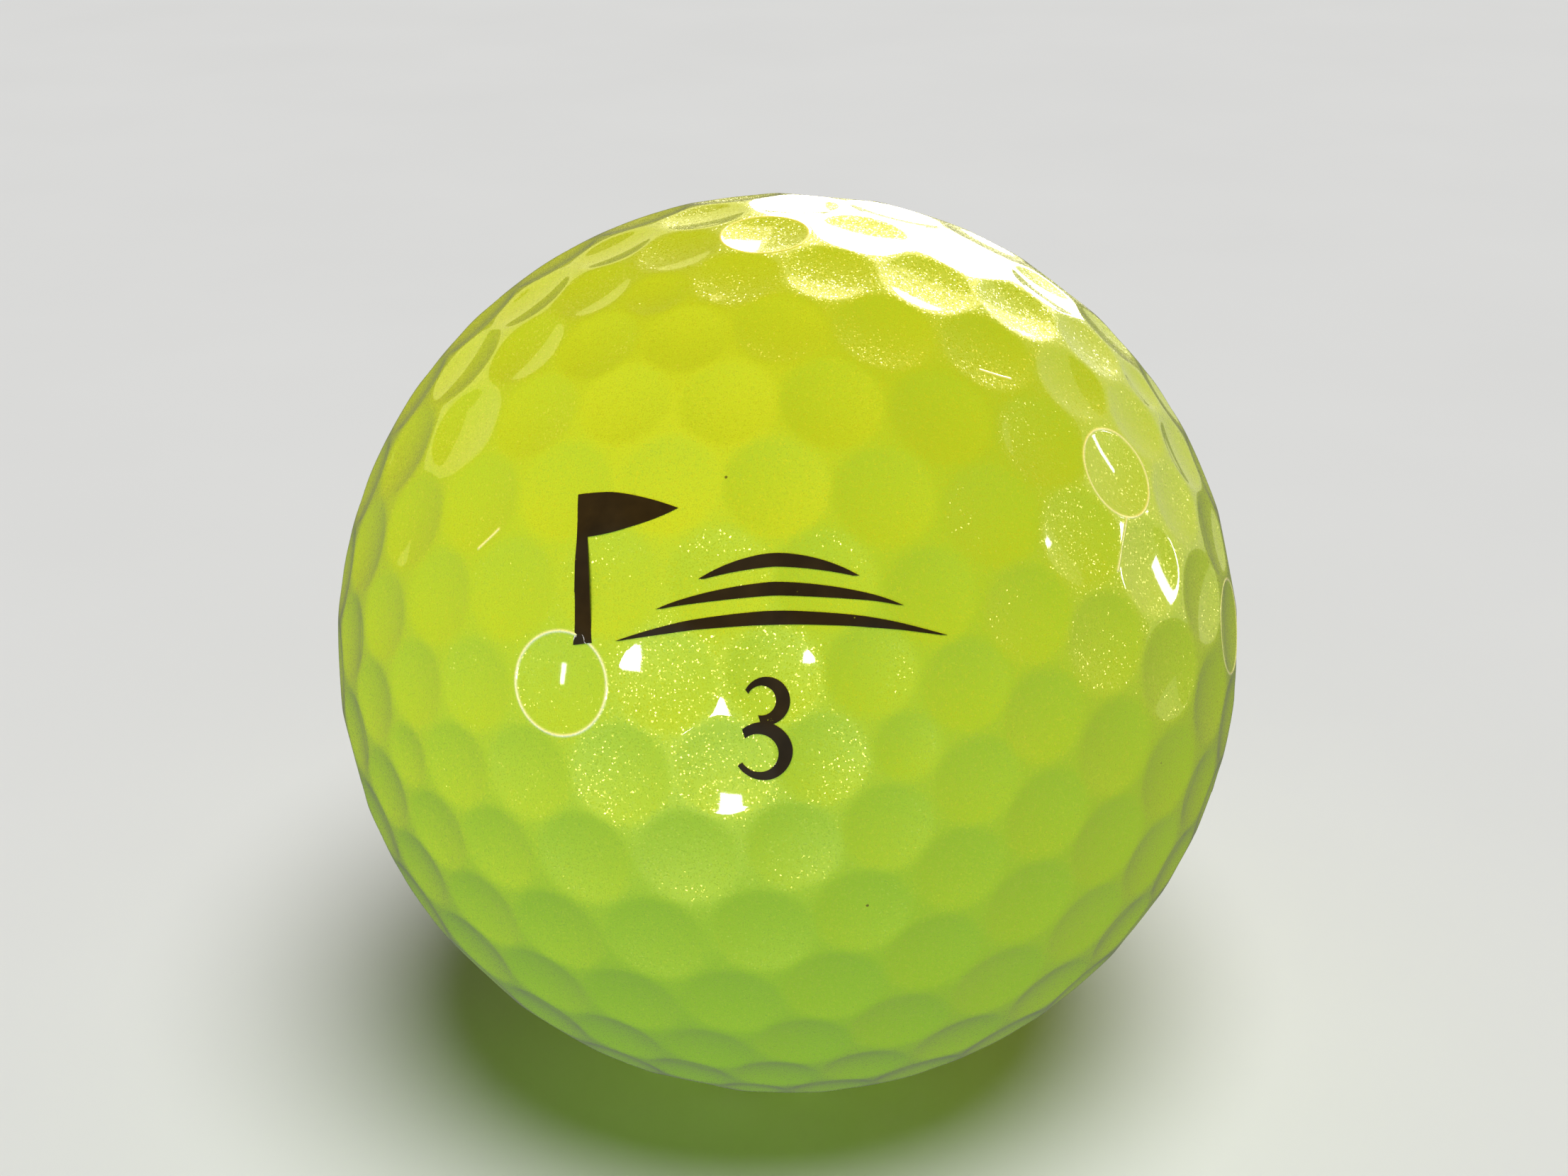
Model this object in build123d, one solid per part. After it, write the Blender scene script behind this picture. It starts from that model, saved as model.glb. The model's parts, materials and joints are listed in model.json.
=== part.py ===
from build123d import *

import math
import os

# A golf ball, lying as it came to rest, in millimetres and degrees. The origin is the ball's
# centre, +Z is up, and the printed emblem faces the front (-Y) and a little upwards.
#
# From the inside out the ball is a solid inner core, an outer core, a mantle and a dimpled
# cover. Each layer round the inner core is moulded as two half shells, which meet on one
# parting plane. The marks are thin films of ink that follow the cover and its dimples.

# Ball and layers
BALL_DIAMETER = 42.7
COVER_THICKNESS = 1.2
MANTLE_THICKNESS = 1.0
INNER_CORE_DIAMETER = 24.0

BALL_RADIUS = BALL_DIAMETER / 2
MANTLE_RADIUS = BALL_RADIUS - COVER_THICKNESS
OUTER_CORE_RADIUS = MANTLE_RADIUS - MANTLE_THICKNESS
INNER_CORE_RADIUS = INNER_CORE_DIAMETER / 2

# Dimples. They lie on an icosahedron's faces, in rows of six steps along each edge. A grid
# point's steps away from the three corners of its face, largest first, give its diameter.
GRID_STEPS = 6
DIMPLE_DIAMETERS = {
    (6, 0, 0): 2.75,
    (5, 1, 0): 3.75,
    (4, 1, 1): 3.85,
    (4, 2, 0): 4.05,
    (3, 2, 1): 4.25,
    (3, 3, 0): 4.30,
    (2, 2, 2): 4.40,
}
DIMPLE_EDGE_ANGLE = 15.0
RING_LATITUDE = math.degrees(math.atan(0.5))
RING_CORNERS = 5
RING_STEP = 360 / RING_CORNERS

# How far a cutter runs past the edge of its dimple, and how high its tip stands
CUTTER_LIP = 0.02
CUTTER_TIP = 0.4

# How the ball lies: the mould axis leans over by the tilt, towards the azimuth
LAY_AZIMUTH = -76.6
LAY_TILT = 77.0
LAY_SPIN = -14.4

# Ink films and where they are printed. A bearing is counted from the front towards the
# right, an elevation up from level, and a roll anticlockwise as seen from outside.
INK_THICKNESS = 0.03
EMBLEM_BEARING = -4.5
EMBLEM_ELEVATION = 34.0
NUMBER_BEARING = -3.1
NUMBER_ELEVATION = 15.5
MARK_ROLL = 3.5
STENCIL_BOTTOM = 16.0
STENCIL_HEIGHT = 6.0
MARK_REACH = 36.0

# Emblem: a flagstick with a pennant, beside a green drawn as a stack of long low arcs
EMBLEM_BOTTOM = -3.1
STICK_HEIGHT = 6.2
STICK_X = -7.0
STICK_FOOT_WIDTH = 0.8
STICK_TOP_WIDTH = 0.4
PENNANT_LENGTH = 4.0
PENNANT_HEIGHT = 1.9
PENNANT_BOW = 0.25
ARC_COUNT = 3
ARC_START_X = -5.6
ARC_LENGTH = 13.2
ARC_RISE = 0.9
ARC_THICKNESS = 0.55
ARC_BLUNT_END = 0.25
ARC_STEP_UP = 1.15
ARC_STEP_IN = 1.7

# Play number, the figure 3: two open bowls. Each is the space between two circles, given
# as centre x, centre y and radius, from a start angle clockwise to an end angle.
UPPER_OUTER = (0.32, 1.12, 0.94)
UPPER_INNER = (0.12, 1.14, 0.58)
UPPER_ANGLES = (150.0, -105.0)
LOWER_OUTER = (0.08, -0.88, 1.19)
LOWER_INNER = (-0.08, -0.95, 0.79)
LOWER_ANGLES = (130.0, -150.0)

# Alignment mark: a bar with an arrowhead at each end
BAR_LENGTH = 13.0
BAR_WIDTH = 0.5
ARROW_LENGTH = 1.8
ARROW_WIDTH = 1.7


def ring(latitude, first_azimuth):
    """Five corners of the icosahedron, evenly spaced at one latitude."""
    z = math.sin(math.radians(latitude))
    r = math.cos(math.radians(latitude))
    angles = [math.radians(first_azimuth + k * RING_STEP) for k in range(RING_CORNERS)]
    return [Vector(r * math.cos(a), r * math.sin(a), z) for a in angles]


def icosahedron_faces():
    """The 20 faces as triples of unit vectors, with a corner on the mould axis."""
    north, south = Vector(0, 0, 1), Vector(0, 0, -1)
    upper, lower = ring(RING_LATITUDE, 0), ring(-RING_LATITUDE, RING_STEP / 2)
    faces = []
    for k in range(RING_CORNERS):
        n = (k + 1) % RING_CORNERS
        faces.append((north, upper[k], upper[n]))
        faces.append((upper[k], upper[n], lower[k]))
        faces.append((lower[k], lower[n], upper[n]))
        faces.append((south, lower[k], lower[n]))
    return faces


def as_it_lies(point):
    """Turn a point of the mould's frame into the frame of the ball as it lies."""
    lay = Rotation(0, 0, LAY_AZIMUTH) * Rotation(0, LAY_TILT, 0) * Rotation(0, 0, LAY_SPIN)
    return (lay * Location(point)).position


def dimple_sites():
    """Each dimple's direction from the ball's centre and its diameter, 362 in all."""
    sites = {}
    for a, b, c in icosahedron_faces():
        for i in range(GRID_STEPS + 1):
            for j in range(GRID_STEPS + 1 - i):
                k = GRID_STEPS - i - j
                site = (a * i + b * j + c * k).normalized()
                key = (round(site.X, 4), round(site.Y, 4), round(site.Z, 4))
                steps = tuple(sorted((i, j, k), reverse=True))
                sites[key] = (as_it_lies(site), DIMPLE_DIAMETERS[steps])
    return list(sites.values())


def dimple_cutter(diameter, growth):
    """A lens on the Z axis that cuts one dimple into a ball grown by some thickness.

    The dimple's floor is part of a sphere, which meets the bare ball at the edge angle.
    The floor rises with the growth, as the top of a film of that thickness does.
    """
    half_width = diameter / 2
    spread = math.asin(half_width / BALL_RADIUS)
    wall = math.radians(DIMPLE_EDGE_ANGLE) - spread
    floor_radius = half_width / math.sin(wall)
    centre = BALL_RADIUS * math.cos(spread) + floor_radius * math.cos(wall)
    floor_radius -= growth
    outside = BALL_RADIUS + growth
    edge_height = (centre**2 + outside**2 - floor_radius**2) / (2 * centre)
    lip_radius = math.sqrt(outside**2 - edge_height**2) + CUTTER_LIP
    floor = [
        Vector(x, 0, centre - math.sqrt(floor_radius**2 - x**2))
        for x in (0, lip_radius / 2, lip_radius)
    ]
    tip = Vector(0, 0, outside + CUTTER_TIP)
    outline = [ThreePointArc(*floor), Line(floor[2], tip), Line(tip, floor[0])]
    return revolve(make_face(outline), Axis.Z)


def dimpled_ball(sites, growth=0.0):
    """The ball, grown by some thickness, with a dimple cut at each of the sites."""
    lens = {d: dimple_cutter(d, growth) for d in DIMPLE_DIAMETERS.values()}
    cutters = [Plane((0, 0, 0), z_dir=site).location * lens[d] for site, d in sites]
    return Sphere(BALL_RADIUS + growth) - cutters


def half_shells(ball, inner_radius):
    """Hollow out a ball and part it on the mould's parting plane: front half, back half."""
    parting = Plane((0, 0, 0), z_dir=as_it_lies(Vector(0, 0, 1)))
    shell = ball - Sphere(inner_radius)
    return split(shell, parting, Keep.TOP), split(shell, parting, Keep.BOTTOM)


def low_arc(left, right, bottom):
    """A long low arc, thickest in the middle and blunt at its ends."""
    middle, top = (left + right) / 2, bottom + ARC_RISE
    ends = [(left, bottom), (right, bottom)]
    inner_ends = [(left + ARC_BLUNT_END, bottom), (right - ARC_BLUNT_END, bottom)]
    return make_face(
        [
            ThreePointArc(ends[0], (middle, top), ends[1]),
            Line(ends[1], inner_ends[1]),
            ThreePointArc(inner_ends[1], (middle, top - ARC_THICKNESS), inner_ends[0]),
            Line(inner_ends[0], ends[0]),
        ]
    )


def emblem_outline():
    """A flagstick with a pennant, then the green beside it."""
    top = EMBLEM_BOTTOM + STICK_HEIGHT
    foot, head = STICK_FOOT_WIDTH / 2, STICK_TOP_WIDTH / 2
    stick = Polyline(
        (STICK_X - foot, EMBLEM_BOTTOM),
        (STICK_X + foot, EMBLEM_BOTTOM),
        (STICK_X + head, top),
        (STICK_X - head, top),
        close=True,
    )
    tip = (STICK_X + PENNANT_LENGTH, top - PENNANT_HEIGHT / 2)
    middle, low = STICK_X + PENNANT_LENGTH / 2, top - PENNANT_HEIGHT
    pennant = [
        ThreePointArc((STICK_X, top), (middle, top - PENNANT_BOW), tip),
        ThreePointArc(tip, (middle, low + PENNANT_BOW), (STICK_X, low)),
        Line((STICK_X, low), (STICK_X, top)),
    ]
    outline = make_face(stick) + make_face(pennant)
    for k in range(ARC_COUNT):
        left = ARC_START_X + k * ARC_STEP_IN
        right = ARC_START_X + ARC_LENGTH - k * ARC_STEP_IN
        outline += low_arc(left, right, EMBLEM_BOTTOM + k * ARC_STEP_UP)
    return outline


def bowl(outer, inner, angles):
    """The open bowl of a figure, between two circles."""
    start, end = angles
    turns = (start, (start + end) / 2, end)

    def points(circle):
        x, y, r = circle
        return [
            (x + r * math.cos(math.radians(a)), y + r * math.sin(math.radians(a)))
            for a in turns
        ]

    outside, inside = points(outer), points(inner)
    return make_face(
        [
            ThreePointArc(*outside),
            Line(outside[2], inside[2]),
            ThreePointArc(*reversed(inside)),
            Line(inside[0], outside[0]),
        ]
    )


def number_outline():
    """The figure 3."""
    upper = bowl(UPPER_OUTER, UPPER_INNER, UPPER_ANGLES)
    return upper + bowl(LOWER_OUTER, LOWER_INNER, LOWER_ANGLES)


def alignment_outline():
    """A bar with an arrowhead at each end."""
    tip, neck = BAR_LENGTH / 2, BAR_LENGTH / 2 - ARROW_LENGTH
    upper_side = [
        (-tip, 0),
        (-neck, ARROW_WIDTH / 2),
        (-neck, BAR_WIDTH / 2),
        (neck, BAR_WIDTH / 2),
        (neck, ARROW_WIDTH / 2),
        (tip, 0),
    ]
    lower_side = [(x, -y) for x, y in upper_side[-2:0:-1]]
    return make_face(Polyline(*upper_side, *lower_side, close=True))


def ink_film(outline, bearing, elevation, roll, sites):
    """A film in the shape of the outline, laid on the dimpled ball."""
    b, e = math.radians(bearing), math.radians(elevation)
    outward = Vector(math.sin(b) * math.cos(e), -math.cos(b) * math.cos(e), math.sin(e))
    rightward = Vector(math.cos(b), math.sin(b), 0)
    stencil_plane = Plane((0, 0, 0), x_dir=rightward, z_dir=outward)
    stencil = extrude(Pos(0, 0, STENCIL_BOTTOM) * outline, STENCIL_HEIGHT)
    stencil = stencil_plane.location * Rotation(0, 0, roll) * stencil
    reach = math.cos(math.radians(MARK_REACH))
    near = [(site, d) for site, d in sites if site.dot(outward) > reach]
    return (stencil & dimpled_ball(near, INK_THICKNESS)) - dimpled_ball(near)


def ball_parts():
    """Every piece of the ball by its name."""
    sites = dimple_sites()
    parts = {"inner_core": Sphere(INNER_CORE_RADIUS)}
    layers = {
        "outer_core": (Sphere(OUTER_CORE_RADIUS), INNER_CORE_RADIUS),
        "mantle": (Sphere(MANTLE_RADIUS), OUTER_CORE_RADIUS),
        "cover": (dimpled_ball(sites), MANTLE_RADIUS),
    }
    for layer, (ball, inner_radius) in layers.items():
        front, back = half_shells(ball, inner_radius)
        parts[layer + "_half_front"] = front
        parts[layer + "_half_back"] = back

    # The back's emblem and number are the front's, turned half round the emblem's upright.
    behind = EMBLEM_BEARING + 180
    number_behind = 2 * EMBLEM_BEARING - NUMBER_BEARING + 180
    number_below = NUMBER_ELEVATION - 2 * EMBLEM_ELEVATION
    emblem, number = emblem_outline(), number_outline()
    arrow = alignment_outline()
    marks = {
        "emblem_print_front": (emblem, EMBLEM_BEARING, EMBLEM_ELEVATION, MARK_ROLL),
        "emblem_print_back": (emblem, behind, -EMBLEM_ELEVATION, MARK_ROLL),
        "number_print_front": (number, NUMBER_BEARING, NUMBER_ELEVATION, MARK_ROLL),
        "number_print_back": (number, number_behind, number_below, MARK_ROLL),
        "alignment_print_left": (arrow, EMBLEM_BEARING - 90, 0, 90 + EMBLEM_ELEVATION),
        "alignment_print_right": (arrow, EMBLEM_BEARING + 90, 0, 90 - EMBLEM_ELEVATION),
    }
    for name, (outline, bearing, elevation, roll) in marks.items():
        parts[name] = ink_film(outline, bearing, elevation, roll, sites)
    return parts


os.makedirs("parts", exist_ok=True)
for part_name, part in ball_parts().items():
    export_step(part, "parts/" + part_name + ".step")
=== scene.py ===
import json
import math

import bmesh
import bpy
import numpy as np
from mathutils import Matrix, Vector
from mathutils.geometry import delaunay_2d_cdt


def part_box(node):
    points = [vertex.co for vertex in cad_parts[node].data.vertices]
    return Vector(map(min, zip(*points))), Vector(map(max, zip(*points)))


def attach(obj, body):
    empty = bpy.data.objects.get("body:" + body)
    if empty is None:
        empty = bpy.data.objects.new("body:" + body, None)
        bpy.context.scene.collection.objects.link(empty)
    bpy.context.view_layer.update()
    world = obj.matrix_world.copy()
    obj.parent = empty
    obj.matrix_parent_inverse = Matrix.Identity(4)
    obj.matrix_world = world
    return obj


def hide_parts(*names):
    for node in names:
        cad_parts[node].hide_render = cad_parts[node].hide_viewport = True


# The looks of a golf ball, in metres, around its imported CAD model. The ball's centre is the
# origin, the front is -Y and +Z is up. The dimple layout, the way the ball lies and the
# prints repeat the CAD model's own values.

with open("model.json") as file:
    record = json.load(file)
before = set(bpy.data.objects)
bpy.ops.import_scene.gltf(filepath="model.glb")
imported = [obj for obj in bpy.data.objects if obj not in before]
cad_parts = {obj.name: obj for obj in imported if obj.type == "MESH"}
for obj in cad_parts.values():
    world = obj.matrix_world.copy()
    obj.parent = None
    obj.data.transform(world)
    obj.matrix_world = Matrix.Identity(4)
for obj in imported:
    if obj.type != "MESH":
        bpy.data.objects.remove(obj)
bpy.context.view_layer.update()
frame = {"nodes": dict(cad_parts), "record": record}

MM = 0.001

# Sizes that the frame gives
BALL_RADIUS = -frame["record"]["mounts"][0]["pos_m"][2]
FLOOR_Z = -BALL_RADIUS
MANTLE_RADIUS = max(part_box("mantle_half_" + side)[1].z for side in ("front", "back"))

# Dimples: a grid point's steps away from the corners of its icosahedron face, largest
# first, give its diameter. Between the poles, the icosahedron has two rings of corners.
GRID_STEPS = 6
RING_CORNERS = 5
RING_LATITUDE = math.atan(0.5)
DIMPLE_DIAMETERS = {
    (6, 0, 0): 2.75 * MM,
    (5, 1, 0): 3.75 * MM,
    (4, 1, 1): 3.85 * MM,
    (4, 2, 0): 4.05 * MM,
    (3, 2, 1): 4.25 * MM,
    (3, 3, 0): 4.30 * MM,
    (2, 2, 2): 4.40 * MM,
}
DIMPLE_EDGE_ANGLE = 15.0
EDGE_SOFTNESS = 0.026 * MM
SLOPE_STEP = 0.004 * MM

# How the ball lies: the mould axis leans over by the tilt, towards the azimuth
LAY_AZIMUTH = -76.6
LAY_TILT = 77.0
LAY_SPIN = -14.4

# Where the mould's retractable pins met the cover, as bearing and elevation. Each left a
# thin raised ring at the edge of a dimple. The other half has its pins opposite.
PIN_PLACES = [(-26.7, 17.6), (54.6, 36.6), (-6.6, 80.0), (71.1, 9.0)]
PIN_RING_HEIGHT = 0.030 * MM
PIN_RING_WIDTH = 0.055 * MM

# Short raised lines on the cover, as bearings and elevations of their ends: the flash that
# runs off one pin ring, and scratches
LINES = [
    ((51.5, 31.3), (45.9, 26.3)),
    ((39.8, 53.5), (44.6, 51.2)),
    ((-43.6, 29.5), (-41.5, 32.3)),
]
RIDGE_ATTRIBUTE = "ridge"

# Mesh of the cover: steps along each edge of the icosahedron, outside and inside, and how
# finely and how near to the rings and lines it is divided further
OUTER_STEPS = 120
INNER_STEPS = 40
FINE_CUTS = 3
FINE_REACH = 0.22 * MM
INNER_GAP = 0.01 * MM
PLANE_TOLERANCE = 1e-6

# Ink films and where they are printed, as in the CAD model
INK_THICKNESS = 0.03 * MM
INK_SINK = 0.02 * MM
INK_GRID = 0.22 * MM
INK_SETTLING_STEPS = 4
FILL_TOLERANCE = 1e-5
ARC_POINTS = 40
EMBLEM_BEARING = -4.5
EMBLEM_ELEVATION = 34.0
NUMBER_BEARING = -3.1
NUMBER_ELEVATION = 15.5
MARK_ROLL = 3.5
EMBLEM_BOTTOM = -3.1 * MM
STICK_HEIGHT = 6.2 * MM
STICK_X = -7.0 * MM
STICK_FOOT_WIDTH = 0.8 * MM
STICK_TOP_WIDTH = 0.4 * MM
PENNANT_LENGTH = 4.0 * MM
PENNANT_HEIGHT = 1.9 * MM
PENNANT_BOW = 0.25 * MM
ARC_COUNT = 3
ARC_START_X = -5.6 * MM
ARC_LENGTH = 13.2 * MM
ARC_RISE = 0.9 * MM
ARC_THICKNESS = 0.55 * MM
ARC_BLUNT_END = 0.25 * MM
ARC_STEP_UP = 1.15 * MM
ARC_STEP_IN = 1.7 * MM
UPPER_OUTER = (0.32 * MM, 1.12 * MM, 0.94 * MM)
UPPER_INNER = (0.12 * MM, 1.14 * MM, 0.58 * MM)
UPPER_ANGLES = (150.0, -105.0)
LOWER_OUTER = (0.08 * MM, -0.88 * MM, 1.19 * MM)
LOWER_INNER = (-0.08 * MM, -0.95 * MM, 0.79 * MM)
LOWER_ANGLES = (130.0, -150.0)
BAR_LENGTH = 13.0 * MM
BAR_WIDTH = 0.5 * MM
ARROW_LENGTH = 1.8 * MM
ARROW_WIDTH = 1.7 * MM

# Camera: how it stands off the ball, in ball radii, and what it looks at
CAMERA_ELEVATION = 25.0
CAMERA_DISTANCE = 5.467 * BALL_RADIUS
CAMERA_AIM_UP = 0.1199 * BALL_RADIUS
CAMERA_AIM_LEFT = 0.0080 * BALL_RADIUS
CAMERA_LENS = 55.54
CAMERA_SENSOR = 36.0

# How brightly the surround shines low down and high up, and the heights on its unit sphere
# between which it changes
SURROUND_BELOW = 0.14
SURROUND_ABOVE = 0.04
SURROUND_LOW = -0.2
SURROUND_HIGH = 0.3

# The pale floor and its own even light
FLOOR_RADIUS = 4.0
FLOOR_SIDES = 96
FLOOR_CLOUD = 30 * MM
FLOOR_LIGHT = 2.9
FLOOR_LIGHT_FROM = (30, 75)
FLOOR_LIGHT_SPREAD = 40.0

# Colours of the lights
GOLD = (1.0, 0.66, 0.03)
WARM = (1.0, 0.80, 0.40)
COOL = (0.60, 1.0, 2.1)
WHITE = (1.0, 0.98, 0.94)


def direction(bearing, elevation):
    """Unit vector at a bearing, from the front towards the right, and an elevation."""
    b, e = math.radians(bearing), math.radians(elevation)
    return np.array([math.sin(b) * math.cos(e), -math.cos(b) * math.cos(e), math.sin(e)])


def unit(vectors):
    """The vectors scaled to length 1."""
    return vectors / np.linalg.norm(vectors, axis=-1, keepdims=True)


# ---------------------------------------------------------------- the dimpled surface

LAY = np.array(
    Matrix.Rotation(math.radians(LAY_AZIMUTH), 3, "Z")
    @ Matrix.Rotation(math.radians(LAY_TILT), 3, "Y")
    @ Matrix.Rotation(math.radians(LAY_SPIN), 3, "Z")
)


def icosahedron_faces():
    """The 20 faces as triples of unit vectors, with a corner on the mould axis."""
    step = math.tau / RING_CORNERS

    def corner(latitude, azimuth):
        flat = math.cos(latitude)
        return np.array(
            [flat * math.cos(azimuth), flat * math.sin(azimuth), math.sin(latitude)]
        )

    north, south = corner(math.pi / 2, 0), corner(-math.pi / 2, 0)
    upper = [corner(RING_LATITUDE, k * step) for k in range(RING_CORNERS)]
    lower = [corner(-RING_LATITUDE, (k + 0.5) * step) for k in range(RING_CORNERS)]
    faces = []
    for k in range(RING_CORNERS):
        n = (k + 1) % RING_CORNERS
        faces.append((north, upper[k], upper[n]))
        faces.append((upper[k], lower[k], upper[n]))
        faces.append((lower[k], lower[n], upper[n]))
        faces.append((south, lower[n], lower[k]))
    return faces


def dimple_sites():
    """Directions of the dimples from the ball's centre, and their radii."""
    sites = {}
    for a, b, c in icosahedron_faces():
        for i in range(GRID_STEPS + 1):
            for j in range(GRID_STEPS + 1 - i):
                k = GRID_STEPS - i - j
                site = unit(a * i + b * j + c * k)
                steps = tuple(sorted((i, j, k), reverse=True))
                key = tuple(np.round(site, 4) + 0.0)
                sites[key] = (LAY @ site, DIMPLE_DIAMETERS[steps] / 2)
    directions, radii = zip(*sites.values())
    return np.array(directions), np.array(radii)


SITES, SITE_RADII = dimple_sites()
SITE_SPREADS = np.arcsin(SITE_RADII / BALL_RADIUS)
SITE_WALLS = math.radians(DIMPLE_EDGE_ANGLE) - SITE_SPREADS
FLOOR_RADII = SITE_RADII / np.sin(SITE_WALLS)
FLOOR_CENTRES = BALL_RADIUS * np.cos(SITE_SPREADS) + FLOOR_RADII * np.cos(SITE_WALLS)

# A shift off a dimple's middle, so that no point of the mesh lines up with it
OFF_SITE = np.array([0.31, 0.17, 0.23])

PIN_DIRECTIONS = [sign * direction(*place) for place in PIN_PLACES for sign in (1, -1)]
PIN_SITES = [int(np.argmax(SITES @ pin)) for pin in PIN_DIRECTIONS]


def near_sites(directions):
    """The three dimples nearest to each direction."""
    return np.argpartition(-(directions @ SITES.T), 3, axis=1)[:, :3]


def line_distances(directions):
    """Distance on the ball from each of the short lines, one row a line."""
    rows = []
    for ends in LINES:
        start, end = (direction(*place) for place in ends)
        along = end - start
        share = np.clip((directions - start) @ along / (along @ along), 0, 1)
        off = directions - start - share[:, None] * along
        rows.append(np.linalg.norm(off, axis=1) * BALL_RADIUS)
    return np.array(rows)


def pin_distances(directions):
    """Distance on the ball from each pin's ring, one row a pin."""
    rows = []
    for site in PIN_SITES:
        angle = np.arccos(np.clip(directions @ SITES[site], -1, 1))
        rows.append(np.abs(angle - SITE_SPREADS[site]) * BALL_RADIUS)
    return np.array(rows)


def ridge_distance(directions):
    """Distance on the ball from the nearest pin ring or line."""
    return np.minimum(
        pin_distances(directions).min(axis=0), line_distances(directions).min(axis=0)
    )


def ridges(directions):
    """Share of their full height that the pin rings and lines have in each direction."""
    return np.exp(-((ridge_distance(directions) / PIN_RING_WIDTH) ** 2))


def surface(directions, near):
    """Radius of the cover along each direction: a ball less its soft-edged dimples."""
    depth = np.zeros(len(directions))
    for column in near.T:
        cosine = np.einsum("ij,ij->i", directions, SITES[column])
        centre, floor = FLOOR_CENTRES[column], FLOOR_RADII[column]
        inside = np.maximum(floor**2 - centre**2 * (1 - cosine**2), 0)
        dip = BALL_RADIUS - (centre * cosine - np.sqrt(inside))
        dip = np.where(inside > 0, dip, -BALL_RADIUS)
        depth += EDGE_SOFTNESS * np.logaddexp(0, dip / EDGE_SOFTNESS)
    return BALL_RADIUS - depth + PIN_RING_HEIGHT * ridges(directions)


def cover_points(directions, height=0.0):
    """Points on the cover, or at a height above it, and the surface's normals there."""
    near = near_sites(directions)
    radius = surface(directions, near)
    side = unit(np.cross(directions, SITES[near[:, 0]] + OFF_SITE))
    up = np.cross(directions, side)
    step = SLOPE_STEP / BALL_RADIUS
    slope_side = (surface(unit(directions + step * side), near) - radius) / step
    slope_up = (surface(unit(directions + step * up), near) - radius) / step
    normals = radius[:, None] * directions
    normals -= slope_side[:, None] * side + slope_up[:, None] * up
    normals = unit(normals)
    return radius[:, None] * directions + height * normals, normals


# ---------------------------------------------------------------- meshes


def link_mesh(name, points, faces, corner_normals, material):
    """A mesh object with its own normal at every corner of every face."""
    mesh = bpy.data.meshes.new(name)
    mesh.from_pydata(points.tolist(), [], faces.tolist())
    mesh.update()
    mesh.shade_smooth()
    mesh.normals_split_custom_set(corner_normals.reshape(-1, 3).tolist())
    mesh.materials.append(material)
    piece = bpy.data.objects.new(name, mesh)
    bpy.context.scene.collection.objects.link(piece)
    return piece


def geodesic_half(steps, side):
    """Half of a triangulated unit sphere, on one side of the mould's parting plane."""
    points, faces, offset = [], [], 0
    for corners in icosahedron_faces():
        row_start = {}
        grid = []
        for i in range(steps + 1):
            row_start[i] = offset + len(grid)
            for j in range(steps + 1 - i):
                grid.append((steps - i - j, j, i))
        points.append(unit(np.array(grid) @ np.array(corners)))
        for i in range(steps):
            this, above = row_start[i], row_start[i + 1]
            for j in range(steps - i):
                faces.append((this + j, this + j + 1, above + j))
            for j in range(steps - i - 1):
                faces.append((this + j + 1, above + j + 1, above + j))
        offset += len(grid)
    points, faces = np.concatenate(points), np.array(faces)
    keys, kept, joined = np.unique(
        np.round(points, 6) + 0.0, axis=0, return_index=True, return_inverse=True
    )
    points, faces = points[kept], joined.reshape(-1)[faces]
    faces = faces[points[faces].mean(axis=1)[:, 2] * side > 0]
    used, faces = np.unique(faces, return_inverse=True)
    return points[used], faces.reshape(-1, 3)


def equator(points):
    """Indices of the points on the parting plane, in order round the mould axis."""
    on_plane = np.flatnonzero(np.abs(points[:, 2]) < PLANE_TOLERANCE)
    return on_plane[np.argsort(np.arctan2(points[on_plane, 1], points[on_plane, 0]))]


def refine(points, faces):
    """Divide the triangles of a lying unit sphere finely along pin rings and lines."""
    middles = unit(points[faces].mean(axis=1))
    close = ridge_distance(middles)
    mesh = bpy.data.meshes.new("refined")
    mesh.from_pydata(points.tolist(), [], faces.tolist())
    work = bmesh.new()
    work.from_mesh(mesh)
    work.faces.ensure_lookup_table()
    edges = {e for f in np.flatnonzero(close < FINE_REACH) for e in work.faces[f].edges}
    bmesh.ops.subdivide_edges(
        work, edges=sorted(edges, key=lambda e: e.index), cuts=FINE_CUTS, use_grid_fill=True
    )
    bmesh.ops.triangulate(work, faces=[f for f in work.faces if len(f.verts) > 3])
    work.to_mesh(mesh)
    work.free()
    fine = np.array([v.co for v in mesh.vertices])
    triangles = np.array([p.vertices for p in mesh.polygons])
    bpy.data.meshes.remove(mesh)
    return unit(fine), triangles


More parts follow.
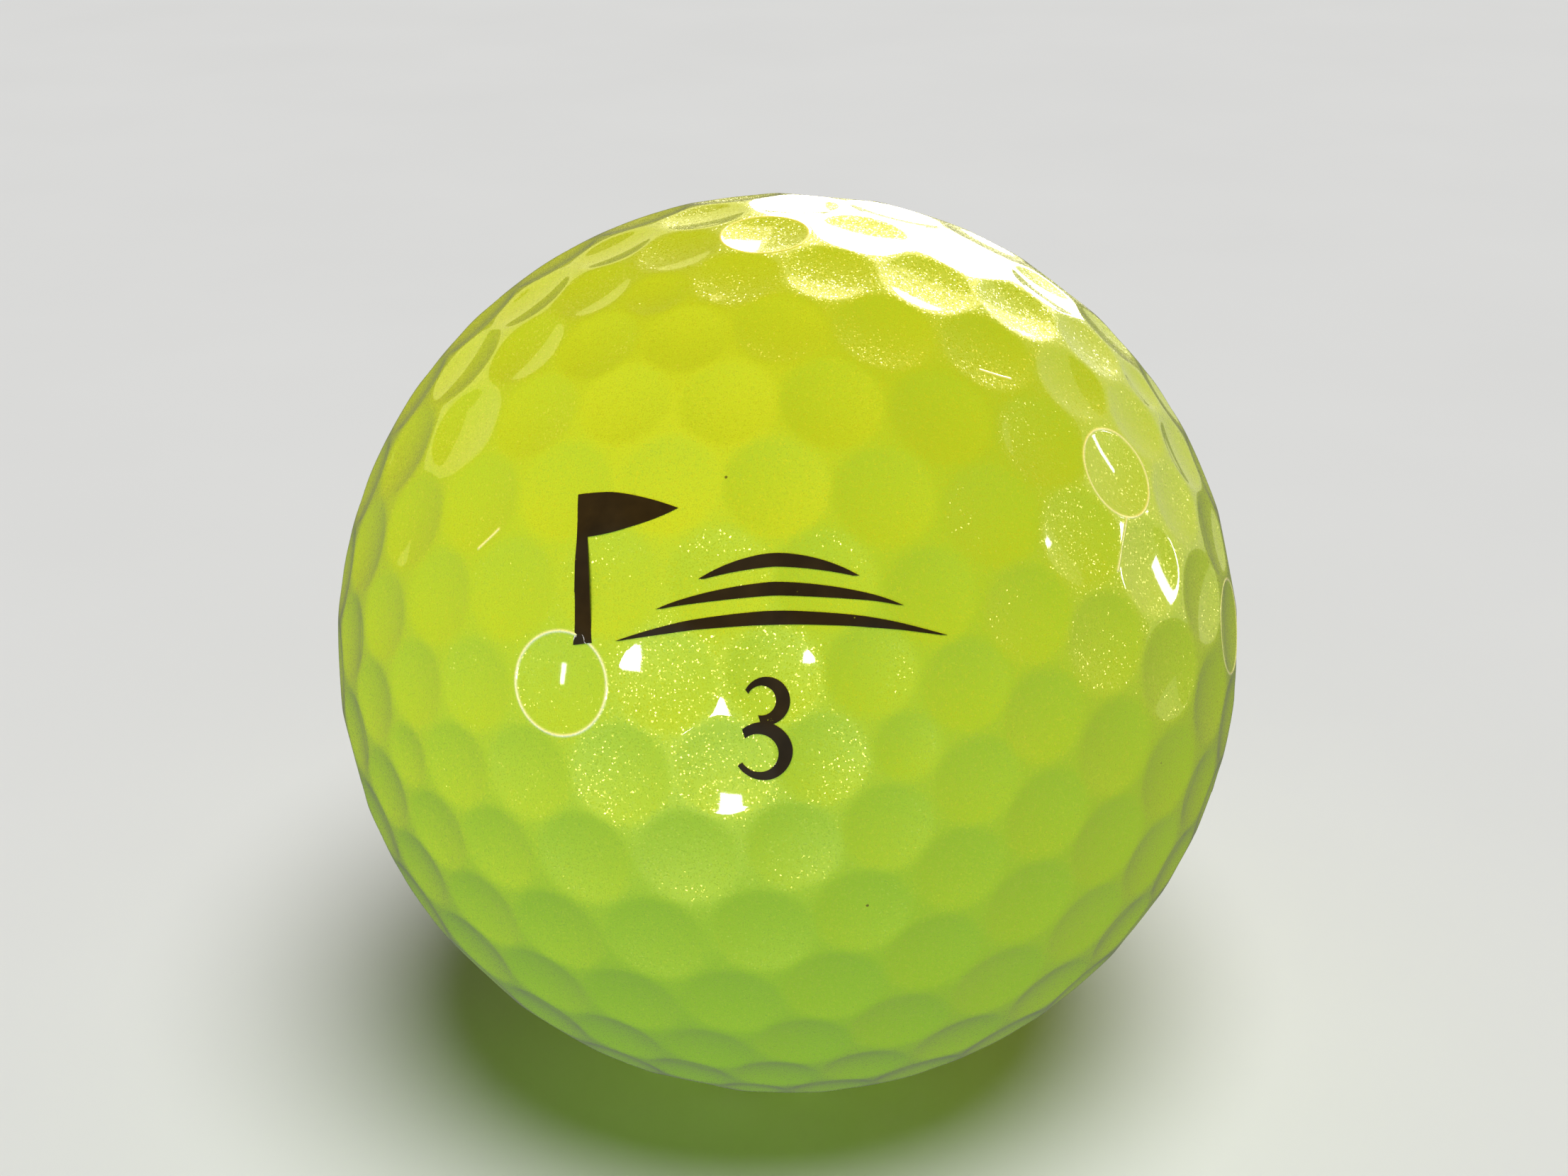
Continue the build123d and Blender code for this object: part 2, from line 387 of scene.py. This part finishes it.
def cover_half(name, side, material):
    """One half of the cover: a closed shell, dimpled outside and round inside."""
    outer, outer_faces = geodesic_half(OUTER_STEPS, side)
    outer_rim = equator(outer)
    inner, inner_faces = geodesic_half(INNER_STEPS, side)
    inner_rim = equator(inner)
    outer, outer_faces = refine(outer @ LAY.T, outer_faces)
    inner = inner @ LAY.T
    outside, normals = cover_points(outer)
    inside = inner * (MANTLE_RADIUS + INNER_GAP)

    # The rim on the parting plane: each edge of the inside meets a few of the outside's.
    share = OUTER_STEPS // INNER_STEPS
    start = np.argmax(outer[outer_rim] @ inner[inner_rim[0]])
    outer_rim = np.roll(outer_rim, -start)
    rim_faces = []
    for k, this in enumerate(inner_rim):
        after = inner_rim[(k + 1) % len(inner_rim)]
        ring = [outer_rim[(k * share + s) % len(outer_rim)] for s in range(share + 1)]
        for s in range(share):
            rim_faces.append((this + len(outer), ring[s + 1], ring[s]))
        rim_faces.append((this + len(outer), after + len(outer), ring[share]))
    rim_faces = np.array(rim_faces)
    if side < 0:
        rim_faces = rim_faces[:, ::-1]

    axis = LAY @ np.array([0, 0, 1.0])
    rim_normals = np.broadcast_to(-side * axis, (len(rim_faces), 3, 3))
    faces = np.concatenate([outer_faces, inner_faces[:, ::-1] + len(outer), rim_faces])
    corner_normals = np.concatenate(
        [normals[outer_faces], -inner[inner_faces[:, ::-1]], rim_normals]
    )
    piece = link_mesh(name, np.concatenate([outside, inside]), faces, corner_normals, material)
    raised = np.concatenate([ridges(outer), np.zeros(len(inner))])
    attribute = piece.data.attributes.new(RIDGE_ATTRIBUTE, "FLOAT", "POINT")
    attribute.data.foreach_set("value", raised.astype(np.float32))
    return piece


# ---------------------------------------------------------------- ink


def arc(start, middle, end):
    """Points along the circle's arc through three points."""
    (ax, ay), (bx, by), (cx, cy) = start, middle, end
    turn = 2 * (ax * (by - cy) + bx * (cy - ay) + cx * (ay - by))
    a2, b2, c2 = ax**2 + ay**2, bx**2 + by**2, cx**2 + cy**2
    x = (a2 * (by - cy) + b2 * (cy - ay) + c2 * (ay - by)) / turn
    y = (a2 * (cx - bx) + b2 * (ax - cx) + c2 * (bx - ax)) / turn
    radius = math.hypot(ax - x, ay - y)
    first, last = math.atan2(ay - y, ax - x), math.atan2(cy - y, cx - x)
    if turn > 0 and last < first:
        last += math.tau
    if turn < 0 and last > first:
        last -= math.tau
    angles = np.linspace(first, last, ARC_POINTS)
    return [(x + radius * math.cos(a), y + radius * math.sin(a)) for a in angles]


def low_arc(left, right, bottom):
    """A long low arc, thickest in the middle and blunt at its ends."""
    middle, top = (left + right) / 2, bottom + ARC_RISE
    over = arc((left, bottom), (middle, top), (right, bottom))
    inner_left, inner_right = left + ARC_BLUNT_END, right - ARC_BLUNT_END
    under = arc((inner_right, bottom), (middle, top - ARC_THICKNESS), (inner_left, bottom))
    return over + under


def emblem_outline():
    """Closed loops: a flagstick with its pennant, then the green beside it as low arcs."""
    top = EMBLEM_BOTTOM + STICK_HEIGHT
    foot, head = STICK_FOOT_WIDTH / 2, STICK_TOP_WIDTH / 2
    tip = (STICK_X + PENNANT_LENGTH, top - PENNANT_HEIGHT / 2)
    middle, low = STICK_X + PENNANT_LENGTH / 2, top - PENNANT_HEIGHT
    lower_side = arc((STICK_X, low), (middle, low + PENNANT_BOW), tip)
    upper_side = arc(tip, (middle, top - PENNANT_BOW), (STICK_X, top))
    taper = (foot - head) / STICK_HEIGHT

    # The pennant's outline, from where it leaves the side of the stick
    pennant = [
        (x, y)
        for x, y in lower_side + upper_side[1:]
        if x - STICK_X > head + taper * (top - y)
    ]
    low_corner = (STICK_X + head + taper * (top - pennant[0][1]), pennant[0][1])
    stick = [(STICK_X - foot, EMBLEM_BOTTOM), (STICK_X + foot, EMBLEM_BOTTOM)]
    stick_top = [(STICK_X + head, top), (STICK_X - head, top)]
    loops = [stick + [low_corner] + pennant + stick_top]
    for k in range(ARC_COUNT):
        left = ARC_START_X + k * ARC_STEP_IN
        right = ARC_START_X + ARC_LENGTH - k * ARC_STEP_IN
        loops.append(low_arc(left, right, EMBLEM_BOTTOM + k * ARC_STEP_UP))
    return loops


def bowl(outer, inner, angles):
    """The open bowl of a figure, between two circles."""
    turns = np.radians(np.linspace(*angles, ARC_POINTS))

    def points(circle):
        x, y, r = circle
        return [(x + r * math.cos(a), y + r * math.sin(a)) for a in turns]

    return points(outer) + points(inner)[::-1]


def number_outline():
    """The figure 3."""
    upper = bowl(UPPER_OUTER, UPPER_INNER, UPPER_ANGLES)
    return [upper, bowl(LOWER_OUTER, LOWER_INNER, LOWER_ANGLES)]


def alignment_outline():
    """A bar with an arrowhead at each end."""
    tip, neck = BAR_LENGTH / 2, BAR_LENGTH / 2 - ARROW_LENGTH
    upper_side = [
        (-tip, 0),
        (-neck, ARROW_WIDTH / 2),
        (-neck, BAR_WIDTH / 2),
        (neck, BAR_WIDTH / 2),
        (neck, ARROW_WIDTH / 2),
        (tip, 0),
    ]
    return [upper_side + [(x, -y) for x, y in upper_side[-2:0:-1]]]


def fill_outline(loops):
    """Triangles that fill the loops, small enough to follow the dimples."""
    corners, edges = [], []
    for loop in loops:
        first = len(corners)
        corners += loop
        edges += [(first + k, first + (k + 1) % len(loop)) for k in range(len(loop))]
    low, high = np.min(corners, axis=0), np.max(corners, axis=0)
    columns = np.arange(low[0], high[0], INK_GRID)
    rows = np.arange(low[1], high[1], INK_GRID)
    grid = [(x + (k % 2) * INK_GRID / 2, y) for k, y in enumerate(rows) for x in columns]
    flat = [Vector(p) / MM for p in corners + grid]
    points, _, triangles, *_ = delaunay_2d_cdt(flat, edges, [], 1, FILL_TOLERANCE)
    used, faces = np.unique(np.array(triangles), return_inverse=True)
    return np.array(points)[used] * MM, faces.reshape(-1, 3)


def ink_film(name, loops, bearing, elevation, roll, material):
    """A thin closed film in the shape of the loops, laid on the dimpled cover."""
    flat, faces = fill_outline(loops)
    outward = direction(bearing, elevation)
    rightward = direction(bearing + 90, 0)
    upward = np.cross(outward, rightward)
    turn = math.radians(roll)
    right = rightward * math.cos(turn) + upward * math.sin(turn)
    up = upward * math.cos(turn) - rightward * math.sin(turn)
    across = flat[:, :1] * right + flat[:, 1:] * up
    radius = np.full(len(flat), BALL_RADIUS)
    for _ in range(INK_SETTLING_STEPS):
        high = np.sqrt(radius**2 - (flat**2).sum(axis=1))
        directions = unit(across + high[:, None] * outward)
        radius = surface(directions, near_sites(directions))
    top, normals = cover_points(directions, INK_THICKNESS)
    bottom = top - (INK_THICKNESS + INK_SINK) * normals

    # Side walls stand on the edges that only one triangle has.
    edges = np.concatenate([faces[:, [0, 1]], faces[:, [1, 2]], faces[:, [2, 0]]])
    present = {tuple(edge) for edge in edges.tolist()}
    border = np.array([edge for edge in present if edge[::-1] not in present])
    border = border[np.lexsort(border.T)]
    a, b, below = border[:, 0], border[:, 1], len(flat)
    walls = np.concatenate(
        [np.stack([b, a, a + below], axis=1), np.stack([b, a + below, b + below], axis=1)]
    )
    points = np.concatenate([top, bottom])
    wall_normals = unit(np.cross(top[b] - top[a], normals[a]))
    wall_normals = np.repeat(np.tile(wall_normals, (2, 1))[:, None], 3, axis=1)
    all_faces = np.concatenate([faces, faces[:, ::-1] + below, walls])
    corner_normals = np.concatenate(
        [normals[faces], -normals[faces[:, ::-1]], wall_normals]
    )
    return link_mesh(name, points, all_faces, corner_normals, material)


# ---------------------------------------------------------------- materials


class Shader:
    """Builds one material's nodes."""

    def __init__(self, name):
        self.material = bpy.data.materials.new(name)
        self.material.use_nodes = True
        self.tree = self.material.node_tree
        self.principled = self.tree.nodes["Principled BSDF"]
        self.coords = self.add("ShaderNodeTexCoord").outputs["Object"]

    def feed(self, node, inputs):
        """Link or set a node's inputs, named or numbered."""
        for key, value in inputs.items():
            if isinstance(value, bpy.types.NodeSocket):
                self.tree.links.new(value, node.inputs[key])
            else:
                node.inputs[key].default_value = value

    def add(self, kind, inputs=None, **settings):
        """A new node with its settings and inputs."""
        node = self.tree.nodes.new(kind)
        for key, value in settings.items():
            setattr(node, key, value)
        self.feed(node, inputs or {})
        return node

    def math(self, operation, *values):
        """A Math node's result."""
        inputs = dict(enumerate(values))
        return self.add("ShaderNodeMath", inputs, operation=operation).outputs[0]

    def vector(self, operation, *values, scale=None):
        """A Vector Math node's vector result."""
        inputs = dict(enumerate(values))
        if scale is not None:
            inputs["Scale"] = scale
        return self.add("ShaderNodeVectorMath", inputs, operation=operation).outputs[0]

    def noise(self, size, detail=2.0, roughness=0.5):
        """Cloudy noise from 0 to 1, with features of about that size in metres."""
        inputs = {"Vector": self.coords, "Scale": 1 / size}
        inputs.update({"Detail": detail, "Roughness": roughness})
        return self.add("ShaderNodeTexNoise", inputs).outputs["Fac"]

    def cells(self, size):
        """Cells of about that size: distance from a cell's centre, colour and place."""
        inputs = {"Vector": self.coords, "Scale": 1 / size}
        return self.add("ShaderNodeTexVoronoi", inputs).outputs

    def chosen(self, cells, share):
        """1 in a random share of the cells, and 0 in the others."""
        draw = self.add("ShaderNodeTexWhiteNoise", {"Vector": cells["Position"]})
        return self.math("LESS_THAN", draw.outputs["Value"], share)

    def span(self, value, low, high, to_low=0.0, to_high=1.0):
        """The value stretched from one span to another, held at its ends."""
        inputs = {"Value": value, "From Min": low, "From Max": high}
        inputs.update({"To Min": to_low, "To Max": to_high})
        return self.add("ShaderNodeMapRange", inputs).outputs["Result"]

    def mix(self, share, low, high):
        """A mix of two colours."""
        node = self.add("ShaderNodeMix", data_type="RGBA")
        self.feed(node, {0: share, 6: low, 7: high})
        return node.outputs[2]

    def bump(self, height, distance):
        """Normals of a bump of that height in metres."""
        inputs = {"Height": height, "Distance": distance, "Strength": 1.0}
        return self.add("ShaderNodeBump", inputs).outputs["Normal"]

    def finish(self, **inputs):
        """Set the shader's own inputs: underscores stand for spaces in their names."""
        named = {key.replace("_", " "): value for key, value in inputs.items()}
        self.feed(self.principled, named)
        return self.material


# Cover: pigment, flakes, the paler rings, the dark specks and a faint painted glow (standing in
# for fluorescence, stronger on the rings) that brightens even its shaded side
PIGMENT = (0.47, 0.73, 0.026, 1)
PIGMENT_DEEP = (0.44, 0.69, 0.022, 1)
PEARL = (0.55, 0.77, 0.036, 1)
GOLD_SHEEN = (1.0, 0.90, 0.25, 1)
RIDGE = (0.98, 1.0, 0.55, 1)
# Painted glow along the pin rings and lines, stronger than the rest of the cover's
RIDGE_PAINTED_GLOW = (2.0, 2.1, 1.0, 1)
SPECK = (0.10, 0.07, 0.01, 1)
FLAKE_SIZE = 0.055 * MM
FLAKE_SHARE = 0.35
FLAKE_TILT = 0.42
FLAKE_ROUGHNESS = 0.20
SKIN_ROUGHNESS = 0.55
SKIN_IOR = 1.9
CLOUD_SIZE = 3.5 * MM
SPECK_SPACING = 3.2 * MM
SPECK_REACH = 0.028
SPECK_SHARE = 0.16
# Strength of the painted glow, which lights the cover even where it lies in shade
PAINTED_GLOW_STRENGTH = 0.10

# Ink: its darkest and lightest brown, and where it is worn
INK_DARK = (0.013, 0.009, 0.004, 1)
INK_LIGHT = (0.040, 0.028, 0.010, 1)
INK_WORN = (0.30, 0.34, 0.02, 1)
INK_CLOUD = 0.9 * MM
INK_WEAR_SIZE = 0.35 * MM
INK_WEAR_SPAN = (0.70, 0.76)

# Cores and mantle
CORE_BODY = (0.16, 0.19, 0.30, 1)
CORE_CRUMBS = (0.30, 0.34, 0.46, 1)
OUTER_CORE_BODY = (0.62, 0.27, 0.10, 1)
OUTER_CORE_CRUMBS = (0.75, 0.42, 0.20, 1)
RUBBER_SHADE = 0.8
RUBBER_CLOUD = 4.0 * MM
RUBBER_GRAIN = 0.25 * MM
CRUMB_SIZE = 0.7 * MM
CRUMB_SHARE = 0.22
MANTLE_SWIRL_DARK = (0.80, 0.78, 0.70, 1)
MANTLE_SWIRL_LIGHT = (0.86, 0.84, 0.77, 1)
MANTLE_SWIRL_SIZE = 9 * MM
MANTLE_GRAIN = 0.3 * MM

# Floor
FLOOR_DARK = (0.74, 0.74, 0.73, 1)
FLOOR_LIGHTER = (0.78, 0.78, 0.77, 1)

# The clear lacquer over cover and ink
CLEAR_COAT_ROUGHNESS = 0.045
CLEAR_COAT_IOR = 1.5
PEEL_SIZE = 1.1 * MM
PEEL_HEIGHT = 0.0016 * MM


def clear_coat(shader):
    """The clear lacquer that lies over cover and ink, with a very slight orange peel."""
    peel = shader.noise(PEEL_SIZE, detail=1.0)
    return {
        "Coat_Weight": 1.0,
        "Coat_Roughness": CLEAR_COAT_ROUGHNESS,
        "Coat_IOR": CLEAR_COAT_IOR,
        "Coat_Normal": shader.bump(peel, PEEL_HEIGHT),
    }


def cover_material():
    """Yellow-green pigment with fine pearl flakes and a few dark specks, lacquered."""
    shader = Shader("cover_lacquered")
    plain = shader.add("ShaderNodeNewGeometry").outputs["Normal"]

    flakes = shader.cells(FLAKE_SIZE)
    chosen = shader.chosen(flakes, FLAKE_SHARE)
    lean = shader.vector("SUBTRACT", flakes["Color"], (0.5, 0.5, 0.5))
    lean = shader.vector("SCALE", lean, scale=shader.math("MULTIPLY", chosen, FLAKE_TILT))
    normal = shader.vector("NORMALIZE", shader.vector("ADD", plain, lean))

    pigment = shader.mix(shader.noise(CLOUD_SIZE), PIGMENT_DEEP, PIGMENT)
    colour = shader.mix(chosen, pigment, PEARL)

    ridge = shader.add("ShaderNodeAttribute", attribute_name=RIDGE_ATTRIBUTE).outputs["Fac"]
    colour = shader.mix(ridge, colour, RIDGE)

    spots = shader.cells(SPECK_SPACING)
    spot = shader.math("LESS_THAN", spots["Distance"], SPECK_REACH)
    spot = shader.math("MULTIPLY", spot, shader.chosen(spots, SPECK_SHARE))
    colour = shader.mix(spot, colour, SPECK)

    return shader.finish(
        Base_Color=colour,
        Roughness=shader.span(chosen, 0, 1, SKIN_ROUGHNESS, FLAKE_ROUGHNESS),
        IOR=SKIN_IOR,
        Specular_IOR_Level=1.0,
        Specular_Tint=GOLD_SHEEN,
        Normal=normal,
        # Painted glow: the cover gives off a little of its own colour, more along the rings and
        # lines, so it stays bright even in shade
        Emission_Color=shader.mix(ridge, pigment, RIDGE_PAINTED_GLOW),
        Emission_Strength=PAINTED_GLOW_STRENGTH,
        **clear_coat(shader),
    )


def ink_material():
    """Brown-black pad-printing ink, slightly uneven and worn, under the lacquer."""
    shader = Shader("ink_lacquered")
    body = shader.mix(shader.noise(INK_CLOUD, detail=3.0), INK_DARK, INK_LIGHT)
    wear = shader.noise(INK_WEAR_SIZE, detail=4.0, roughness=0.7)
    colour = shader.mix(shader.span(wear, *INK_WEAR_SPAN), body, INK_WORN)
    return shader.finish(
        Base_Color=colour, Roughness=0.5, Specular_IOR_Level=0.1, **clear_coat(shader)
    )


def rubber_material(name, body, grain):
    """Moulded rubber with a speckle of reground rubber and a faintly rough skin."""
    shader = Shader(name)
    shade = tuple(RUBBER_SHADE * c for c in body)
    colour = shader.mix(shader.noise(RUBBER_CLOUD, detail=4.0), body, shade)
    colour = shader.mix(shader.chosen(shader.cells(CRUMB_SIZE), CRUMB_SHARE), colour, grain)
    skin = shader.noise(RUBBER_GRAIN, detail=3.0)
    return shader.finish(
        Base_Color=colour,
        Roughness=shader.span(skin, 0.3, 0.7, 0.55, 0.8),
        Normal=shader.bump(skin, 0.01 * MM),
    )


def mantle_material():
    """Milky ionomer with faint swirls left by the flow into the mould."""
    shader = Shader("mantle_ionomer")
    inputs = {"Vector": shader.coords, "Scale": 1 / MANTLE_SWIRL_SIZE, "Distortion": 3.0}
    swirl = shader.add("ShaderNodeTexWave", inputs).outputs["Fac"]
    colour = shader.mix(swirl, MANTLE_SWIRL_DARK, MANTLE_SWIRL_LIGHT)
    fine = shader.noise(MANTLE_GRAIN)
    return shader.finish(
        Base_Color=colour,
        Roughness=shader.span(fine, 0.3, 0.7, 0.38, 0.5),
        Normal=shader.bump(fine, 0.004 * MM),
    )


def floor_material():
    """Plain pale matt floor."""
    shader = Shader("floor_pale")
    colour = shader.mix(shader.noise(FLOOR_CLOUD, detail=3.0), FLOOR_DARK, FLOOR_LIGHTER)
    return shader.finish(Base_Color=colour, Roughness=0.9, Specular_IOR_Level=0.2)


# ---------------------------------------------------------------- the ball


def give_cad_looks():
    """Materials for the layers inside, whose CAD shapes stay."""
    core = rubber_material("inner_core_rubber", CORE_BODY, CORE_CRUMBS)
    outer = rubber_material("outer_core_rubber", OUTER_CORE_BODY, OUTER_CORE_CRUMBS)
    mantle = mantle_material()
    looks = {"inner_core": core}
    for side in ("front", "back"):
        looks["outer_core_half_" + side] = outer
        looks["mantle_half_" + side] = mantle
    for node, material in looks.items():
        frame["nodes"][node].data.materials.clear()
        frame["nodes"][node].data.materials.append(material)


def build_cover():
    """The two halves of the cover, in place of their CAD nodes."""
    material = cover_material()
    for side, sign in {"front": 1, "back": -1}.items():
        piece = cover_half("cover_shell_" + side, sign, material)
        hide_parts("cover_half_" + side)
        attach(piece, "root")


def build_prints():
    """The ink films. The back's are the front's, turned half round the emblem's upright."""
    material = ink_material()
    behind = EMBLEM_BEARING + 180
    number_behind = 2 * EMBLEM_BEARING - NUMBER_BEARING + 180
    number_below = NUMBER_ELEVATION - 2 * EMBLEM_ELEVATION
    emblem, number, arrow = emblem_outline(), number_outline(), alignment_outline()
    marks = {
        "emblem_print_front": (emblem, EMBLEM_BEARING, EMBLEM_ELEVATION, MARK_ROLL),
        "emblem_print_back": (emblem, behind, -EMBLEM_ELEVATION, MARK_ROLL),
        "number_print_front": (number, NUMBER_BEARING, NUMBER_ELEVATION, MARK_ROLL),
        "number_print_back": (number, number_behind, number_below, MARK_ROLL),
        "alignment_print_left": (arrow, EMBLEM_BEARING - 90, 0, 90 + EMBLEM_ELEVATION),
        "alignment_print_right": (arrow, EMBLEM_BEARING + 90, 0, 90 - EMBLEM_ELEVATION),
    }
    for node, (loops, bearing, elevation, roll) in marks.items():
        piece = ink_film(node + "_film", loops, bearing, elevation, roll, material)
        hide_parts(node)
        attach(piece, "root")


# ---------------------------------------------------------------- stage


def build_floor():
    """A wide round floor that the ball rests on."""
    bpy.ops.mesh.primitive_circle_add(
        vertices=FLOOR_SIDES, radius=FLOOR_RADIUS, fill_type="NGON", location=(0, 0, FLOOR_Z)
    )
    floor = bpy.context.object
    floor.name = "floor"
    floor.data.materials.append(floor_material())
    floor.visible_glossy = False
    floor.visible_diffuse = False
    return floor


def collection(name, objects):
    """A collection that lights can be linked to."""
    group = bpy.data.collections.new(name)
    for thing in objects:
        group.objects.link(thing)
    return group


def softbox(name, bearing, elevation, distance, size, radiance, **seen):
    """An area light that faces the ball and shines evenly with that radiance. The other
    arguments are its colour, the collection it lights, the only collection that shades it
    (where there is one, as for a light below the floor), and how it is seen:
    visible_glossy=False for a light with no reflection, visible_diffuse=False for one that
    is only a reflection."""
    light = bpy.data.lights.new(name, "AREA")
    light.shape = "RECTANGLE"
    light.size, light.size_y = size
    light.energy = radiance * math.pi * size[0] * size[1]
    light.color = seen.pop("colour", (1, 1, 1))
    lamp = bpy.data.objects.new(name, light)
    towards = Vector(direction(bearing, elevation))
    lamp.location = towards * distance
    lamp.rotation_euler = towards.to_track_quat("Z", "Y").to_euler()
    lamp.visible_camera = False
    lamp.light_linking.receiver_collection = seen.pop("lit")
    lamp.light_linking.blocker_collection = seen.pop("shaded_by", None)
    for key, value in seen.items():
        setattr(lamp, key, value)
    bpy.context.scene.collection.objects.link(lamp)


def build_ball_lights(ball):
    """Lights that fall on the ball alone: broad glows, and windows and lamps that are seen
    as reflections in its lacquer."""
    plain = {"visible_glossy": False, "lit": ball}
    shiny = {"visible_diffuse": False, "lit": ball}
    softbox("ceiling", -60, 64, 0.90, (0.7, 0.7), 6.4, colour=GOLD, **plain)
    softbox("fill_front", -18, -15, 0.80, (0.5, 0.4), 5.1, colour=COOL, shaded_by=ball, **plain)
    softbox("fill_left", -105, 20, 0.80, (0.4, 0.4), 1.6, colour=WARM, **plain)
    softbox("fill_right", 76, 10, 0.80, (0.5, 0.4), 5.6, colour=WARM, **plain)
    softbox("window_glow", 165, 30, 0.70, (0.4, 0.4), 2.0, colour=WARM, lit=ball)
    softbox("window_behind", 168, 18, 0.60, (0.27, 0.30), 12.0, colour=WHITE, **shiny)
    softbox("wall_right", 128, 10, 0.70, (0.8, 0.5), 0.55, colour=(1, 1, 0.6), **shiny)
    softbox("wall_left", -150, 17, 0.70, (0.85, 0.18), 0.85, colour=(1, 0.95, 0.4), **shiny)
    softbox("lamp_front", -17, 7.5, 0.60, (0.075, 0.095), 36.0, colour=WHITE, **shiny)
    softbox("lamp_left", -55, 3, 0.60, (0.015, 0.06), 30.0, lit=ball)
    softbox("lamp_right", 102, 11, 0.60, (0.045, 0.10), 18.0, lit=ball)
    softbox("lamp_right_behind", 112, 15, 0.60, (0.015, 0.08), 16.0, lit=ball)


def build_floor_light(floor):
    """An even light from above that falls on the floor alone."""
    sun = bpy.data.lights.new("floor_light", "SUN")
    sun.energy, sun.angle = FLOOR_LIGHT, math.radians(FLOOR_LIGHT_SPREAD)
    lamp = bpy.data.objects.new("floor_light", sun)
    lamp.rotation_euler = Vector(direction(*FLOOR_LIGHT_FROM)).to_track_quat("Z", "Y").to_euler()
    lamp.light_linking.receiver_collection = floor
    bpy.context.scene.collection.objects.link(lamp)


def build_surround():
    """A dim even surround, a little lighter below than above."""
    world = bpy.data.worlds.new("surround")
    world.use_nodes = True
    nodes, links = world.node_tree.nodes, world.node_tree.links
    coords = nodes.new("ShaderNodeTexCoord")
    height = nodes.new("ShaderNodeSeparateXYZ")
    ramp = nodes.new("ShaderNodeMapRange")
    ramp.inputs["From Min"].default_value = SURROUND_LOW
    ramp.inputs["From Max"].default_value = SURROUND_HIGH
    ramp.inputs["To Min"].default_value = SURROUND_BELOW
    ramp.inputs["To Max"].default_value = SURROUND_ABOVE
    background = nodes["Background"]
    links.new(coords.outputs["Generated"], height.inputs["Vector"])
    links.new(height.outputs["Z"], ramp.inputs["Value"])
    links.new(ramp.outputs["Result"], background.inputs["Strength"])
    background.inputs["Color"].default_value = (1.0, 1.0, 0.92, 1)
    bpy.context.scene.world = world


def build_camera():
    """The camera, in front of the ball and above it."""
    data = bpy.data.cameras.new("camera")
    data.sensor_width = CAMERA_SENSOR
    data.lens = CAMERA_LENS
    data.clip_start, data.clip_end = 0.005, 20
    camera = bpy.data.objects.new("camera", data)
    bpy.context.scene.collection.objects.link(camera)
    back = Vector(direction(0, CAMERA_ELEVATION))
    up = Vector(direction(0, CAMERA_ELEVATION + 90))
    left = Vector((-1, 0, 0))
    camera.location = back * CAMERA_DISTANCE
    target = up * CAMERA_AIM_UP + left * CAMERA_AIM_LEFT
    camera.rotation_euler = (camera.location - target).to_track_quat("Z", "Y").to_euler()
    bpy.context.scene.camera = camera


give_cad_looks()
build_cover()
build_prints()
lit_ball = collection("ball", [o for o in bpy.context.scene.objects if o.type == "MESH"])
lit_floor = collection("stage", [build_floor()])
build_ball_lights(lit_ball)
build_floor_light(lit_floor)
build_surround()
bpy.context.scene.view_settings.view_transform = "Standard"
build_camera()
